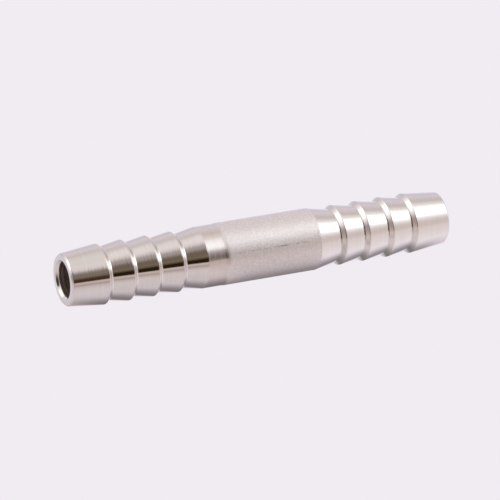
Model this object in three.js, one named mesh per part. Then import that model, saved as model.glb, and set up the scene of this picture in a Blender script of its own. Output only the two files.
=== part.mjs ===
// Hose joiner: a straight, double-ended hose barb turned from one length of round bar.
//
// The axis of the part is X and the origin is in the middle of the bore. Each end carries a long
// nose and a row of barbs that grip a hose pushed over them. A cone then rises to the plain bar,
// which is where the two hoses stop. One straight bore runs through from end to end.

import * as THREE from "three";

// ---- Driving dimensions, in millimetres ----

// The bar and its bore.
const overallLength = 65.6; // from end face to end face
const bodyDiameter = 10.0; // the round bar the joiner is turned from
const boreDiameter = 5.8; // the straight passage through the part
const mouthDepth = 0.5; // how deep the countersink at each mouth of the bore goes
const mouthAngle = 60; // included angle of that countersink, in degrees

// One barbed tail, the same at both ends.
const noseDiameter = 8.46; // the first barb where it meets the end face, before its edge is broken
const noseEdge = 0.27; // 45 degree break round the outside of the end face
const noseLength = 6.15; // from the end face to the first crest
const barbCount = 4; // crests on each tail, the nose's own crest included
const barbPitch = 4.2; // from crest to crest
const crestDiameter = 9.72; // over the crests
const rootDiameter = 8.54; // at the bottom of each groove
const crestLand = 0.2; // narrow cylindrical flat on each crest
const backSlopeLength = 0.61; // axial length of the steep face behind each crest
const rootFillet = 0.1; // left in each groove by the nose radius of the tool
const coneLength = 3.76; // from the last groove up to the bar

// The light cut that cleans the bar beside one cone only.
const skimLength = 3.4; // from where the cone would meet the full bar to the bar's own skin
const skimDepth = 0.05; // taken off the radius
const skimRunOut = 0.5; // length over which the tool leaves the bar

const facetsRound = 64; // flats round the circumference

// ---- Sizes that follow from these ----

const halfLength = overallLength / 2;
const bodyRadius = bodyDiameter / 2;
const boreRadius = boreDiameter / 2;
const noseRadius = noseDiameter / 2;
const crestRadius = crestDiameter / 2;
const rootRadius = rootDiameter / 2;
const endWall = noseRadius - boreRadius;
const edgeBreak = Math.min(noseEdge, endWall / 3);
const mouthSlope = Math.tan(THREE.MathUtils.degToRad(mouthAngle / 2));
const mouthFlare = Math.min(mouthDepth * mouthSlope, endWall / 3);

// A corner of the turned outline: its distance from the end face, its radius from the axis, and
// the fillet that rounds it.
function corner(fromEnd, radius, fillet = 0) {
  return { fromEnd, radius, fillet };
}

// The outside of one tail, from its end face to the corner where the cone meets the bar.
function tailCorners() {
  const corners = [corner(0, noseRadius - edgeBreak), corner(edgeBreak, noseRadius)];
  for (let barb = 0; barb < barbCount; barb += 1) {
    const crest = noseLength + barb * barbPitch;
    corners.push(corner(crest - crestLand, crestRadius));
    corners.push(corner(crest, crestRadius));
    corners.push(corner(crest + backSlopeLength, rootRadius, rootFillet));
  }
  const lastGroove = corners[corners.length - 1].fromEnd;
  corners.push(corner(lastGroove + coneLength, bodyRadius));
  return corners;
}

// Where a tail's corners lie along the part's axis, for the tail on the given side (-1 or +1).
function placedTail(side) {
  return tailCorners().map(({ fromEnd, radius, fillet }) => ({
    along: side * (halfLength - fromEnd),
    radius,
    fillet,
  }));
}

// The skimmed band starts at the cone of the -X tail and fades out into the bar's own skin. The
// cone keeps its slope, so it ends a little sooner where it meets the thinner band.
function skimmedTail() {
  const tail = placedTail(-1);
  const cone = tail[tail.length - 1];
  const skimEnd = cone.along + skimLength;
  cone.along -= (coneLength * skimDepth) / (bodyRadius - rootRadius);
  cone.radius = bodyRadius - skimDepth;
  tail.push({ along: skimEnd - skimRunOut, radius: bodyRadius - skimDepth, fillet: 0 });
  tail.push({ along: skimEnd, radius: bodyRadius, fillet: 0 });
  return tail;
}

// The bore and its two countersunk mouths, from the +X mouth back to the -X mouth.
function boreCorners() {
  const mouthRadius = boreRadius + mouthFlare;
  const straightEnd = halfLength - mouthFlare / mouthSlope;
  return [
    { along: halfLength, radius: mouthRadius, fillet: 0 },
    { along: straightEnd, radius: boreRadius, fillet: 0 },
    { along: -straightEnd, radius: boreRadius, fillet: 0 },
    { along: -halfLength, radius: mouthRadius, fillet: 0 },
  ];
}

// Draws a closed outline through the corners, with an arc tangent to both sides at each fillet.
// The outline's x is the radius and its y runs along the axis, as a lathe wants it.
function turnedOutline(corners) {
  const outline = new THREE.Path();
  corners.forEach((here, index) => {
    const at = new THREE.Vector2(here.radius, here.along);
    const before = corners[(index + corners.length - 1) % corners.length];
    const after = corners[(index + 1) % corners.length];
    const inward = new THREE.Vector2(before.radius, before.along).sub(at).normalize();
    const onward = new THREE.Vector2(after.radius, after.along).sub(at).normalize();
    if (here.fillet === 0) {
      if (index === 0) outline.moveTo(at.x, at.y);
      else outline.lineTo(at.x, at.y);
      return;
    }
    const halfAngle = Math.acos(inward.dot(onward)) / 2;
    const toTangent = here.fillet / Math.tan(halfAngle);
    const toCentre = here.fillet / Math.sin(halfAngle);
    const middle = inward.clone().add(onward).normalize();
    const centre = at.clone().addScaledVector(middle, toCentre);
    const start = at.clone().addScaledVector(inward, toTangent).sub(centre);
    const end = at.clone().addScaledVector(onward, toTangent).sub(centre);
    const clockwise = start.cross(end) < 0;
    outline.absarc(centre.x, centre.y, here.fillet, start.angle(), end.angle(), clockwise);
  });
  outline.closePath();
  return outline;
}

// ---- The part ----

function makeHoseJoiner() {
  const corners = [...skimmedTail(), ...placedTail(1).reverse(), ...boreCorners()];
  const chordsPerArc = 1; // an arc gets two chords for each of these
  const profile = turnedOutline(corners).getPoints(chordsPerArc);
  const turned = new THREE.LatheGeometry(profile, facetsRound);
  const steel = new THREE.MeshStandardMaterial({
    color: new THREE.Color(0.74, 0.72, 0.71),
    roughness: 0.28,
    metalness: 1.0,
  });
  const joiner = new THREE.Mesh(turned, steel);
  joiner.name = "hose_joiner";
  joiner.rotation.z = -Math.PI / 2; // the lathe turns about Y, and the part lies along X
  return joiner;
}

const part = new THREE.Group();
part.add(makeHoseJoiner());

export default part;
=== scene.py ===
# %% [markdown]
# # A hose joiner, turned from one round bar
#
# A hose joiner is a short metal pipe with a row of barbs at each end. A hose is pushed over each
# end, and the barbs grip it. This one is a single piece: a round bar, drilled through, with both
# ends cut to shape on a lathe. Nothing is pressed on, screwed or soldered, so the lesson has one
# piece, and all of its looks come from three things: a true turned outline, a finish that changes
# along the bar, and a studio that is worth mirroring.
#
# The sizes are not made here. They come from the CAD model, which is loaded first and isn't moved.

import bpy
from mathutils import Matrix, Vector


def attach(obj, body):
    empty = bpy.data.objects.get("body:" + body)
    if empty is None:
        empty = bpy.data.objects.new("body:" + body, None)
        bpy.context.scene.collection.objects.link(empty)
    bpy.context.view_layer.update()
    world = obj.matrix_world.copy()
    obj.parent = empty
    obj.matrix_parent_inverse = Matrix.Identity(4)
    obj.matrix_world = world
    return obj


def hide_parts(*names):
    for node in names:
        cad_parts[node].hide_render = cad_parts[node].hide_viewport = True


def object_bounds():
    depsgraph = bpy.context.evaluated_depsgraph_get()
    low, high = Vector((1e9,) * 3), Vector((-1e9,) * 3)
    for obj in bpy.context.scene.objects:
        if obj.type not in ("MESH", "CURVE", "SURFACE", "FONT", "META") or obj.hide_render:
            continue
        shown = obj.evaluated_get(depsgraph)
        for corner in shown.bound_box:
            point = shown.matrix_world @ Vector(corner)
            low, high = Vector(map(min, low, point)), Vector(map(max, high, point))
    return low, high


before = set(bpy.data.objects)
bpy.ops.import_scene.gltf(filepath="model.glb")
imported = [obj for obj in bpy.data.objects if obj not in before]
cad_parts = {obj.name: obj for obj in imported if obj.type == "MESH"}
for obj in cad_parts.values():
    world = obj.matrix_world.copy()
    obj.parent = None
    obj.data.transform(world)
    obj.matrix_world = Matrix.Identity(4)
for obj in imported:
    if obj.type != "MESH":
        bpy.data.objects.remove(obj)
cad_low, cad_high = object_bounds()
joiner_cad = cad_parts["hose_joiner"]
print("frame", sorted(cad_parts), "length", round(cad_high.x - cad_low.x, 5))

# %% [markdown]
# ## The camera
#
# A small bright part is usually shot from some distance with a long lens, so that its two ends
# look nearly the same size. The camera stands a little to the left of the front and looks down
# on the part by a quarter of a right angle, and it isn't quite level. It could be aimed with a
# Track To constraint, but a rotation worked out from the viewing direction has nothing left to
# update.

# %% The camera
from math import cos, degrees, pi, radians, sin

import bmesh
import bpy
from mathutils import Quaternion, Vector
from mathutils.geometry import intersect_line_line

turn = radians(-24.15)  # from the front, towards the left end
rise = radians(22.26)  # above the horizon
roll = radians(0.18)
distance = 0.65508
slide_right = -0.00065  # small moves of the whole camera, which place the part in the frame
slide_up = -0.00028

back = Vector((sin(turn) * cos(rise), -cos(turn) * cos(rise), sin(rise)))
right = Vector((cos(turn), sin(turn), 0))
up = back.cross(right)
middle = (cad_low + cad_high) / 2

camera = bpy.data.objects.new("camera", bpy.data.cameras.new("camera"))
bpy.context.scene.collection.objects.link(camera)
camera.location = middle + distance * back + slide_right * right + slide_up * up
camera.rotation_mode = "QUATERNION"
camera.rotation_quaternion = Quaternion(back, roll) @ back.to_track_quat("Z", "Y")
camera.data.sensor_width = 36
camera.data.lens = 295.95
camera.data.clip_start = 0.01
camera.data.clip_end = 10
bpy.context.scene.camera = camera
bpy.context.scene.view_settings.view_transform = "Standard"
print("camera at", tuple(round(value, 4) for value in camera.location))

# %% [markdown]
# ## The outline
#
# On the lathe, the whole outside is one outline that turns about the bar's axis. The same is
# done here. The CAD solid is true to size, but it has only a few flats round, and bright metal
# shows every flat. It could be smoothed with a Subdivision Surface modifier, but that would
# round off the barbs as well. So the solid is cut through its axis, one half of the cut is kept
# as the outline, and the outline is turned again in much finer steps.

# %% Cut the CAD solid along its axis
closer_than = 1e-6  # points nearer to each other than this are one point


def half_section(node):
    """The closed outline that a node shows on the upright plane through its axis, above it."""
    shape = bmesh.new()
    shape.from_mesh(node.data)
    bmesh.ops.remove_doubles(shape, verts=shape.verts, dist=closer_than)
    bmesh.ops.bisect_plane(
        shape, geom=shape.verts[:] + shape.edges[:] + shape.faces[:], dist=closer_than,
        plane_co=(0, 0, 0), plane_no=(0, 1, 0), clear_inner=True, clear_outer=True,
    )
    below = [vert for vert in shape.verts if vert.co.z < 0]
    bmesh.ops.delete(shape, geom=below, context="VERTS")
    bmesh.ops.delete(shape, geom=shape.faces[:], context="FACES_KEEP_BOUNDARY")
    return shape


outline = half_section(joiner_cad)
print("outline points", len(outline.verts), "edges", len(outline.edges))

# %% Measure the outline
# The bar is the widest stretch. Its own skin is the part of it at the full radius, and the rest
# is a band that a light cut has skimmed.
bar_radius = max(vert.co.z for vert in outline.verts)
nearly_bar = 0.98  # the crests of the barbs are thinner than this share of the bar
bar_stretch = [vert.co.x for vert in outline.verts if vert.co.z > nearly_bar * bar_radius]
bar_start, bar_end = min(bar_stretch), max(bar_stretch)
skin_start = min(vert.co.x for vert in outline.verts if vert.co.z > bar_radius - closer_than)
bore_radius = min(vert.co.z for vert in outline.verts)
print("bar from", round(bar_start, 5), "to", round(bar_end, 5))
print("own skin from", round(skin_start, 5))
print("bar radius", round(bar_radius, 5), "bore radius", round(bore_radius, 5))

# %% [markdown]
# ## Broken edges
#
# No turned edge is perfectly sharp. Each crest, and each corner of the two cones, has a tiny
# round on it, and on bright metal that round is what draws the thin light line along the edge.
# A Bevel modifier could make it on the finished piece. It is less work on the outline, where one
# rounded corner becomes a whole rounded ring.
#
# The corners are told apart by how far the outline turns there, and which way. Those that stick
# out are edges. Those that go in are the roots of the grooves, where the CAD model has a small
# fillet of three points. The tool's own nose is a little larger, so each fillet is first drawn
# back to a corner. The faint corners are where the skimmed band runs out into the bar's skin.

# %% Tell the corners apart
points_in_fillet = 3
least_turn = 1  # degrees; a point where the outline turns less than this isn't a corner
faint_turn = 6  # degrees


def turn_of(corner):
    """How far the outline turns at a corner of its face, in degrees."""
    return 180 - degrees(corner.calc_angle())


def corners_of(shape):
    """The edges, the roots and the faint corners of an outline, which is filled to tell them."""
    bmesh.ops.delete(shape, geom=shape.faces[:], context="FACES_ONLY")
    bmesh.ops.contextual_create(shape, geom=shape.edges[:])
    shape.faces.ensure_lookup_table()
    shape.faces[0].normal_update()
    turned = [corner for corner in shape.faces[0].loops if turn_of(corner) > least_turn]
    faint = [
        corner.vert for corner in turned
        if turn_of(corner) < faint_turn and bar_start < corner.vert.co.x < 0
    ]
    edges = [corner.vert for corner in turned if corner.is_convex and corner.vert not in faint]
    roots = [corner.vert for corner in turned if not corner.is_convex and corner.vert not in faint]
    return edges, roots, faint


def along_bar(vert):
    return vert.co.x


def neighbours(vert):
    """The outline points on both sides of one."""
    return [edge.other_vert(vert) for edge in vert.link_edges]


def draw_back(shape, fillet):
    """Turns the points of one fillet, in order along the bar, into the corner that it rounds."""
    first, last = fillet[0], fillet[-1]
    before = min(neighbours(first), key=along_bar)
    after = max(neighbours(last), key=along_bar)
    corner = intersect_line_line(before.co, first.co, after.co, last.co)[0]
    bmesh.ops.pointmerge(shape, verts=fillet, merge_co=corner)


edges, roots, faint = corners_of(outline)
roots.sort(key=along_bar)
for first in range(0, len(roots), points_in_fillet):
    draw_back(outline, roots[first:first + points_in_fillet])
edges, roots, faint = corners_of(outline)
print("edges", len(edges), "roots", len(roots), "faint corners", len(faint))

# %% Round the corners of the outline
edge_round = 0.00005
root_round = 0.00015
fade_round = 0.0003  # a little over half of the run-out, so its two roundings overlap there


def round_corners(shape, corners, offset, segments):
    """Rounds some corners of an outline that has been filled with one face."""
    bmesh.ops.bevel(
        shape, geom=corners, offset=offset, segments=segments, profile=0.5,
        affect="VERTICES", material=-1, clamp_overlap=False,
    )


round_corners(outline, edges, edge_round, segments=4)
round_corners(outline, roots, root_round, segments=8)
round_corners(outline, faint, fade_round, segments=8)
print("outline points now", len(outline.verts))

# %% [markdown]
# ## Turning
#
# The Spin operator carries the outline once round the axis, like the lathe. A Screw modifier
# would do the same, but the operator leaves a finished mesh, whose edges can then be told apart.
#
# Wherever two faces meet at more than a small angle, their edge is kept crisp. That takes in the
# rings where the outline turns, so that a long face mirrors truly right up to its end. It also
# takes in most lines along the bar, which are a tenth of a millimetre apart and hardly show.

# %% Turn the outline
steps_round = 320
crisp_from = radians(0.9)
bmesh.ops.delete(outline, geom=outline.faces[:], context="FACES_ONLY")
bmesh.ops.spin(
    outline, geom=outline.verts[:] + outline.edges[:], cent=(0, 0, 0), axis=(1, 0, 0),
    angle=2 * pi, steps=steps_round, use_merge=True,
)
bmesh.ops.remove_doubles(outline, verts=outline.verts, dist=closer_than / 10)
bmesh.ops.recalc_face_normals(outline, faces=outline.faces)
for face in outline.faces:
    face.smooth = True
for edge in outline.edges:
    edge.smooth = edge.calc_face_angle(0) < crisp_from
print("faces", len(outline.faces), "open edges", sum(edge.is_boundary for edge in outline.edges))

# %% Make it a piece
turned_mesh = bpy.data.meshes.new("turned_joiner")
outline.to_mesh(turned_mesh)
outline.free()
turned_joiner = bpy.data.objects.new("turned_joiner", turned_mesh)
bpy.context.scene.collection.objects.link(turned_joiner)
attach(turned_joiner, "root")
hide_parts("hose_joiner")
print("piece", turned_joiner.name, "faces", len(turned_mesh.polygons))

# %% [markdown]
# ## Writing shader maths
#
# A finish that changes along a bar is a sum of masks, and a sum is easier to read as a sum than
# as a row of nodes. A small class holds one output of a node. Adding, subtracting or multiplying
# it adds the Math node that does so. Every other node comes from one method, which takes the
# node's type, its settings and what goes into its sockets.

# %% One socket that can be used in sums
class Wire:
    """One output socket of a node."""

    def __init__(self, sheet, socket):
        self.sheet = sheet
        self.socket = socket

    def maths(self, operation, *values):
        """What a Math node makes of some values."""
        sockets = dict(enumerate(values))
        return self.sheet.add("ShaderNodeMath", {"operation": operation}, sockets)

    def __add__(self, other):
        return self.maths("ADD", self, other)

    def __sub__(self, other):
        return self.maths("SUBTRACT", self, other)

    def __rsub__(self, other):
        return self.maths("SUBTRACT", other, self)

    def __mul__(self, other):
        return self.maths("MULTIPLY", self, other)

    def __truediv__(self, other):
        return self.maths("DIVIDE", self, other)

    def __abs__(self):
        return self.maths("ABSOLUTE", self)

    def __neg__(self):
        return self.maths("MULTIPLY", self, -1)

    __radd__ = __add__
    __rmul__ = __mul__

    def smooth(self, low, high):
        """0 below low, 1 above high, and a smooth rise between them."""
        settings = {"interpolation_type": "SMOOTHSTEP"}
        sockets = {"Value": self, "From Min": low, "From Max": high}
        return self.sheet.add("ShaderNodeMapRange", settings, sockets)


print("a socket can be added to, subtracted from, multiplied and divided")

# %% A sheet of nodes
class Sheet:
    """A node tree that nodes are added to."""

    def __init__(self, owner):
        owner.use_nodes = True
        self.tree = owner.node_tree
        self.tree.nodes.clear()

    def add(self, kind, settings=None, sockets=None, output=0):
        """Adds a node and gives back one of its outputs, if it has any."""
        node = self.tree.nodes.new(kind)
        for name, value in (settings or {}).items():
            if name == "stops":
                self.set_stops(node.color_ramp, value)
            else:
                setattr(node, name, value)
        for name, value in (sockets or {}).items():
            if isinstance(value, Wire):
                self.tree.links.new(value.socket, node.inputs[name])
            else:
                node.inputs[name].default_value = value
        return Wire(self, node.outputs[output]) if node.outputs else None

    def set_stops(self, ramp, stops):
        """Gives a colour ramp its stops, each with a place from 0 to 1 and a colour."""
        while len(ramp.elements) < len(stops):
            ramp.elements.new(0.5)
        for element, (place, colour) in zip(ramp.elements, stops):
            element.position = place
            element.color = (*colour, 1)

    def split(self, vector):
        """The x, y and z of a vector."""
        first = self.add("ShaderNodeSeparateXYZ", sockets={0: vector})
        return [Wire(self, socket) for socket in first.socket.node.outputs]

    def join(self, x, y, z):
        """A vector from its x, y and z."""
        return self.add("ShaderNodeCombineXYZ", sockets={0: x, 1: y, 2: z})

    def noise(self, vector, scale, detail=2):
        """Smooth noise around 0.5, which changes scale times in each unit of the vector."""
        sockets = {"Vector": vector, "Scale": scale, "Detail": detail}
        return self.add("ShaderNodeTexNoise", sockets=sockets)

    def blend(self, factor, one, other):
        """A colour between two colours."""
        sockets = {0: factor, 6: one, 7: other}
        return self.add("ShaderNodeMix", {"data_type": "RGBA"}, sockets, output=2)


def between(value, start, full, full_end, end):
    """A mask that rises from start to full, holds, and falls from full_end to end."""
    return value.smooth(start, full) * (1 - value.smooth(full_end, end))


print("a sheet can hold nodes, noises, blends and masks")

# %% [markdown]
# ## The finish of the steel
#
# One piece of steel shows four finishes. The tails and the cones are fresh from the tool: nearly
# a mirror, with fine feed marks round them. The bar between them still has its own skin, which
# is satin, because it came through a drawing die: it has a fine grain, marks drawn out along it,
# and one longer scratch. Beside one cone the skin is half cut away, which leaves a semi-bright
# band. The bore is dull and ringed, because a drill leaves it so.
#
# These could be four materials on four sets of faces. One material with masks is better here,
# because two of the finishes fade into each other. The masks come from the place along the bar
# and the distance from its axis.

# %% Where on the part a point is
steel = bpy.data.materials.new("turned_steel")
finish = Sheet(steel)
place = finish.add("ShaderNodeTexCoord", output="Object")
along, across, height = finish.split(place)
off_axis = finish.join(0.0, across, height)
from_axis = finish.add("ShaderNodeVectorMath", {"operation": "LENGTH"}, {0: off_axis}, output="Value")
angle_up = height.maths("ARCTAN2", height, -across)  # 0 is level at the front, and it grows upwards

crisp = 0.00002
fade = 0.0003
wander_width = 0.0006
wander = (finish.noise(place, 700) - 0.5) * wander_width  # the skin doesn't end on a clean line
past_bar_start = along.smooth(bar_start - crisp, bar_start + crisp)
past_skin_start = (along + wander).smooth(skin_start - 2 * fade, skin_start + fade)
before_bar_end = 1 - along.smooth(bar_end - crisp, bar_end + crisp)
on_bar = past_bar_start * before_bar_end
on_skin = past_skin_start * before_bar_end
in_bore = 1 - from_axis.smooth(bore_radius + crisp, bore_radius + 3 * crisp)
print("masks: own skin, bar, bore")

# %% Feed marks, drawn grain and the scratch
# A pattern is stretched by giving each direction its own scale. Feed marks are thin along the
# bar and run a long way round it. Drawn grain is the other way about.


def marks(scale_along, scale_round, detail):
    """Noise that is stretched along the bar or round it."""
    stretched = finish.join(along * scale_along, across * scale_round, height * scale_round)
    return finish.noise(stretched, 1, detail)


feed_marks = marks(3300, 130, detail=3)
drill_marks = marks(2600, 60, detail=3)
drawn_marks = marks(420, 5200, detail=2)
grain = finish.noise(place, 3300, detail=1)

scratch_angle = radians(20)
scratch_edge = radians(0.6)
beside_scratch = abs(angle_up - scratch_angle)
across_scratch = 1 - beside_scratch.smooth(scratch_edge, 3 * scratch_edge)
scratch_fade = between(along, -0.007, -0.002, 0.005, 0.0092)
scratch_breaks = finish.noise(finish.join(along, 0.0, 0.0), 520, detail=3)
scratch = across_scratch * scratch_breaks.smooth(0.4, 0.66) * scratch_fade * on_skin
print("scratch at", round(degrees(scratch_angle)), "degrees above the front")

# %% The colours of the steel
steel_colour = (0.74, 0.705, 0.69)
feed_colour = (0.68, 0.645, 0.63)
skin_colour = (0.818, 0.772, 0.775)
bore_colour = (0.84, 0.75, 0.70)
ring_colour = (0.46, 0.38, 0.34)
scratch_colour = (0.36, 0.33, 0.31)
feed_strength = 0.5
scratch_strength = 0.8

feed_amount = feed_marks.smooth(0.25, 0.75) * feed_strength
colour = finish.blend(feed_amount, (*steel_colour, 1), (*feed_colour, 1))
drilled = finish.blend(drill_marks.smooth(0.35, 0.65), (*ring_colour, 1), (*bore_colour, 1))
colour = finish.blend(in_bore, colour, drilled)
colour = finish.blend(on_skin * grain.smooth(0.3, 0.7), colour, (*skin_colour, 1))
colour = finish.blend(scratch * scratch_strength, colour, (*scratch_colour, 1))
print("nodes so far", len(steel.node_tree.nodes))

# %% The roughness of the steel
# The skimmed band is rougher than the tails, and the skin is rougher again on top of that.
turned_roughness = 0.05
more_on_bar = 0.12
more_on_skin = 0.3
more_in_bore = 0.3
drawn_spread = 0.12
feed_spread = 0.06

turned = 1 - on_skin
even = turned_roughness + more_on_bar * on_bar + more_on_skin * on_skin + more_in_bore * in_bore
drawn_change = (drawn_marks - 0.5) * on_skin * drawn_spread
feed_change = (feed_marks - 0.5) * turned * feed_spread
roughness = even + drawn_change + feed_change
print("roughness of the tails", turned_roughness, "band", round(turned_roughness + more_on_bar, 2))

# %% The relief of the steel
# How high each pattern stands, in thousandths of a millimetre.
feed_height = 6
drill_height = 40
grain_height = 20
drawn_height = 12
scratch_depth = 6
micron = 1e-6

turned_relief = feed_marks * turned * feed_height + drill_marks * in_bore * drill_height
skin_relief = grain * grain_height + drawn_marks * drawn_height - scratch * scratch_depth
height_in_microns = turned_relief + skin_relief * on_skin
bump_sockets = {"Height": height_in_microns, "Strength": 1, "Distance": micron}
relief = finish.add("ShaderNodeBump", sockets=bump_sockets)
print("deepest relief", drill_height, "thousandths of a millimetre, in the bore")

# %% The steel
surface = finish.add(
    "ShaderNodeBsdfPrincipled",
    sockets={"Base Color": colour, "Metallic": 1, "Roughness": roughness, "Normal": relief},
)
finish.add("ShaderNodeOutputMaterial", sockets={"Surface": surface})
turned_mesh.materials.append(steel)
print("steel nodes", len(steel.node_tree.nodes))

# %% [markdown]
# ## The studio
#
# Bright metal has hardly any colour of its own. It shows a pale table, the dark room beyond the
# table's front edge, a lit ceiling, and a large softbox on the right. A smaller light stands at
# the left. Each of these could be a real plane with a lamp behind it. Here they are painted on
# the world instead, as a function of direction, because the part is so small that everything in
# the studio is far away from it.
#
# The directions are measured round the bar: 0 degrees is level towards the front, 90 is straight
# up, 180 is level towards the back, and -90 is straight down. Five such rings of colour stand
# side by side from left to right, and the world blends from each to the next.
#
# A ring's colours are written as they look in the metal, from 0 to 255. The steel takes a little
# of the light away, so a light is worked out that looks like that once it has been mirrored.

# %% Colours as they look in the metal
def light_for(red, green, blue, gain=1.0):
    """The light that looks like this display colour once the steel has mirrored it."""
    shown = (value / 255 for value in (red, green, blue))
    linear = [value / 12.92 if value < 0.04045 else ((value + 0.055) / 1.055) ** 2.4 for value in shown]
    return tuple(gain * value / own for value, own in zip(linear, steel_colour))


def place_of(angle):
    """Where an angle round the bar, in degrees, lies on a ramp."""
    return (angle + 180) / 360


def ring(*stops):
    """Ramp stops from angles round the bar, in degrees, each with the colour seen there."""
    return [(place_of(angle), light_for(*colour)) for angle, *colour in stops]


# Towards the left end: the table, a grey wall, and the small light high up behind.
end_ring = ring(
    (-180, 200, 194, 199), (-160, 206, 198, 203), (-135, 200, 188, 191), (-110, 204, 191, 193),
    (-80, 208, 195, 196), (-60, 204, 191, 190), (-40, 203, 189, 188), (-22, 198, 184, 180),
    (-8, 187, 171, 164), (4, 172, 154, 149), (25, 160, 143, 139), (45, 162, 146, 143),
    (60, 190, 177, 175), (72, 224, 214, 211), (86, 248, 242, 242), (98, 255, 255, 252, 1.2),
    (124, 255, 253, 250, 1.2), (138, 236, 226, 226), (150, 212, 202, 204), (164, 192, 183, 187),
    (180, 200, 194, 199),
)
# Across the bar, as the barbs of the left tail show it: the dark room at its clearest.
left_ring = ring(
    (-180, 200, 193, 199), (-165, 214, 206, 213), (-148, 196, 186, 186), (-130, 182, 171, 173),
    (-110, 190, 178, 180), (-90, 190, 177, 179), (-60, 196, 183, 185), (-42, 203, 190, 190),
    (-26, 204, 191, 189), (-18, 195, 180, 176), (-9, 162, 147, 142), (-4, 192, 174, 166),
    (1, 192, 174, 166), (3, 36, 22, 10), (14, 38, 26, 12), (19, 88, 76, 60),
    (24, 112, 99, 83), (32, 106, 92, 77), (40, 107, 95, 84), (47, 136, 124, 117),
    (53, 157, 145, 141), (62, 162, 150, 147), (69, 190, 178, 175), (76, 210, 198, 195),
    (88, 224, 213, 210), (103, 227, 215, 212), (113, 216, 205, 201), (123, 203, 191, 190),
    (140, 216, 205, 208), (157, 208, 198, 204), (168, 197, 189, 195), (180, 200, 193, 199),
)
# A little to the right of that, as the left nose shows it.
nose_ring = ring(
    (-180, 196, 187, 192), (-165, 210, 202, 207), (-140, 190, 180, 182), (-112, 196, 184, 187),
    (-90, 198, 186, 189), (-60, 202, 190, 192), (-45, 209, 195, 197), (-28, 203, 191, 190),
    (-18, 194, 180, 175), (-9, 162, 146, 138), (-4, 190, 172, 163), (1, 190, 172, 163),
    (3, 60, 43, 32), (12, 62, 46, 36), (19, 108, 94, 80), (25, 123, 109, 96),
    (32, 122, 108, 98), (39, 147, 134, 131), (45, 184, 173, 171), (50, 211, 199, 198),
    (62, 218, 207, 205), (82, 215, 204, 200), (98, 216, 206, 201), (110, 210, 199, 193),
    (121, 198, 187, 184), (133, 205, 193, 193), (145, 210, 199, 201), (162, 196, 187, 191),
    (180, 196, 187, 192),
)
# Towards the right, as the plain bar shows it: the left edge of the softbox.
bar_ring = ring(
    (-180, 206, 198, 203), (-165, 214, 206, 211), (-145, 186, 174, 176), (-112, 178, 165, 167),
    (-85, 180, 165, 166), (-60, 191, 176, 175), (-45, 202, 186, 185), (-28, 196, 178, 175),
    (-10, 179, 161, 155), (1, 182, 164, 156), (5, 98, 81, 70), (15, 52, 39, 33),
    (20, 86, 73, 65), (27, 107, 94, 90), (35, 141, 128, 124), (41, 183, 171, 170),
    (47, 222, 213, 212), (52, 243, 234, 232), (62, 249, 240, 238), (71, 238, 229, 226),
    (80, 230, 221, 215), (90, 215, 203, 195), (102, 206, 192, 185), (115, 193, 179, 173),
    (127, 205, 190, 189), (150, 206, 195, 198), (168, 197, 187, 193), (180, 206, 198, 203),
)
# Far to the right, as the right tail shows it: the middle of the softbox.
right_ring = ring(
    (-180, 206, 199, 207), (-165, 217, 210, 217), (-145, 206, 196, 200), (-120, 212, 201, 207),
    (-90, 219, 208, 214), (-62, 229, 218, 221), (-42, 224, 213, 213), (-20, 218, 205, 203),
    (-7, 214, 199, 194), (1, 205, 189, 183), (12, 202, 187, 181), (20, 208, 194, 190),
    (29, 222, 212, 210), (35, 239, 233, 232), (40, 252, 246, 245), (44, 255, 255, 255, 1.4),
    (80, 255, 255, 255, 1.3), (85, 250, 244, 240), (93, 231, 221, 219), (100, 216, 206, 203),
    (107, 203, 192, 189), (114, 196, 185, 182), (128, 205, 193, 193), (145, 209, 198, 202),
    (162, 199, 189, 195), (180, 206, 199, 207),
)
print("stops", len(end_ring), len(left_ring), len(nose_ring), len(bar_ring), len(right_ring))

# %% Paint the studio on the world
# The camera itself sees a plain pale backdrop. Only the metal sees the studio.
backdrop_colour = (0.879, 0.838, 0.888, 1)

world = bpy.data.worlds.new("studio")
bpy.context.scene.world = world
studio = Sheet(world)
direction = studio.add("ShaderNodeTexCoord", output="Generated")
to_right, to_back, upward = studio.split(direction)
angle_round = upward.maths("ARCTAN2", upward, -to_back)
ramp_place = (angle_round + pi) / (2 * pi)  # 0 to 1 for -180 to 180 degrees


def painted(stops, place=ramp_place):
    """The light that a ring of stops gives, at a place on its ramp."""
    return studio.add("ShaderNodeValToRGB", {"stops": stops}, {0: place})


# The softbox's left edge leans: further to the right, the metal meets it lower down. Each ring
# is true where the middle of its barbs looks, and leans on both sides of that.
lean_amount = 0.5
softbox_edge = between(ramp_place, place_of(28), place_of(48), place_of(80), place_of(110))
lean = softbox_edge * lean_amount
barbs_look = 0.025
nose_looks = 0.13
light_left = painted(left_ring, ramp_place + lean * (to_right - barbs_look))
light_nose = painted(nose_ring, ramp_place + lean * (to_right - nose_looks))

# From left to right, where each ring begins to take over from the one before, and has done so.
takes_over = [
    (-0.35, -0.06, light_left),
    (0.06, 0.13, light_nose),
    (0.2, 0.36, painted(bar_ring)),
    (0.385, 0.425, painted(right_ring)),
]
light = painted(end_ring)
for begins, done, next_light in takes_over:
    light = studio.blend(to_right.smooth(begins, done), light, next_light)

# A dark doorway stands low at the left.
doorway_width = between(to_right, -0.76, -0.66, -0.3, -0.06)
doorway_height = between(ramp_place, place_of(-45), place_of(20), place_of(50), place_of(66))
doorway_strength = 0.95
doorway = doorway_width * doorway_height * doorway_strength
light = studio.blend(doorway, light, (*light_for(58, 42, 36), 1))

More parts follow.
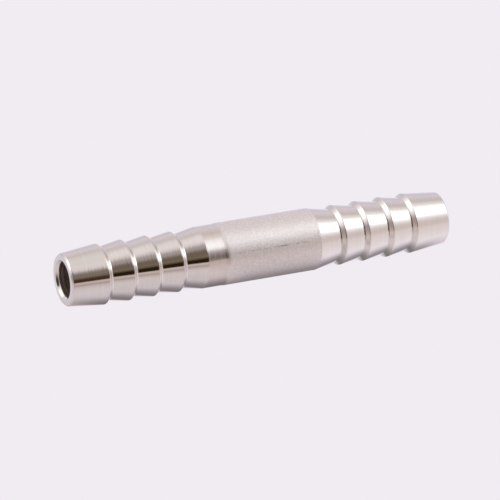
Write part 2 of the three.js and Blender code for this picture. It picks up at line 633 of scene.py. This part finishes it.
studio_light = studio.add("ShaderNodeBackground", sockets={"Color": light})
plain_light = studio.add("ShaderNodeBackground", sockets={"Color": backdrop_colour})
by_camera = studio.add("ShaderNodeLightPath", output="Is Camera Ray")
seen = studio.add("ShaderNodeMixShader", sockets={0: by_camera, 1: studio_light, 2: plain_light})
studio.add("ShaderNodeOutputWorld", sockets={"Surface": seen})
print("world nodes", len(world.node_tree.nodes))

# %% [markdown]
# ## The table
#
# The part lies on a pale table, evenly lit from all sides. Two things are needed of the table.
# The camera sees plain pale paper, with a little shade under the bar. The metal sees the soft
# shadow that the part lays along each side of itself, which is the dark line low on every
# barb. A lit table with real shadows would give both, but they couldn't then be set apart, and
# the paper wouldn't stay plain. So there are two sheets in the same place: one that only the
# camera sees, and one that only the metal sees.

# %% Make a sheet of paper
def table_sheet(name, paper):
    """A large level sheet that the part lies on."""
    shape = bmesh.new()
    bmesh.ops.create_grid(shape, x_segments=1, y_segments=1, size=1)
    bmesh.ops.translate(shape, verts=shape.verts, vec=(0, 0, cad_low.z))
    mesh = bpy.data.meshes.new(name)
    shape.to_mesh(mesh)
    shape.free()
    mesh.materials.append(paper)
    sheet = bpy.data.objects.new(name, mesh)
    bpy.context.scene.collection.objects.link(sheet)
    sheet.visible_diffuse = False
    sheet.visible_shadow = False
    return sheet


# %% The paper that the camera sees
shade_colour = (0.62, 0.58, 0.63, 1)
pale_paper = bpy.data.materials.new("pale_paper")
paper = Sheet(pale_paper)
paper_x, paper_y = paper.split(paper.add("ShaderNodeTexCoord", output="Object"))[:2]
radii_back = paper_y / bar_radius
shade_across = between(radii_back, -0.2, 0.6, 0.9, 3)
shade_along = between(paper_x, 0.85 * cad_low.x, 0.4 * cad_low.x, 0.6 * cad_high.x, cad_high.x)
paper_colour = paper.blend(shade_across * shade_along, backdrop_colour, shade_colour)
glow = paper.add("ShaderNodeEmission", sockets={"Color": paper_colour})
paper.add("ShaderNodeOutputMaterial", sockets={"Surface": glow})
floor = table_sheet("floor", pale_paper)
floor.visible_glossy = False
print("floor at", round(cad_low.z, 5))

# %% The shadow that the metal sees
# A narrow shadow runs along the whole part, on both sides of the line that it lies on. The thick
# bar in the middle adds a wide and weak one.
narrow_strength = 0.63
wide_strength = 0.22
soft_shadow = bpy.data.materials.new("soft_shadow")
shadow = Sheet(soft_shadow)
shadow_x, shadow_y = shadow.split(shadow.add("ShaderNodeTexCoord", output="Object"))[:2]
from_line = abs(shadow_y)
left_end, right_end = cad_low.x, cad_high.x
narrow_across = between(from_line, 0.0008, 0.0021, 0.0023, 0.006)
narrow_starts = left_end - 0.004, left_end + 0.007
narrow_ends = right_end - 0.0055, right_end + 0.002
narrow_along = between(shadow_x, *narrow_starts, *narrow_ends)
wide_across = between(from_line, 0.002, 0.0048, 0.007, 0.018)
wide_along = between(shadow_x, -0.007, -0.001, 0.009, 0.015)
narrow = narrow_across * narrow_along * narrow_strength
wide = wide_across * wide_along * wide_strength
clear = shadow.add("ShaderNodeBsdfTransparent")
black = shadow.add("ShaderNodeEmission", sockets={"Strength": 0.0})
veil = shadow.add("ShaderNodeMixShader", sockets={0: narrow + wide, 1: clear, 2: black})
shadow.add("ShaderNodeOutputMaterial", sockets={"Surface": veil})
mirrored_floor = table_sheet("mirrored_shadow", soft_shadow)
mirrored_floor.visible_camera = False
print("shadow along", round(cad_low.x, 4), "to", round(cad_high.x, 4))
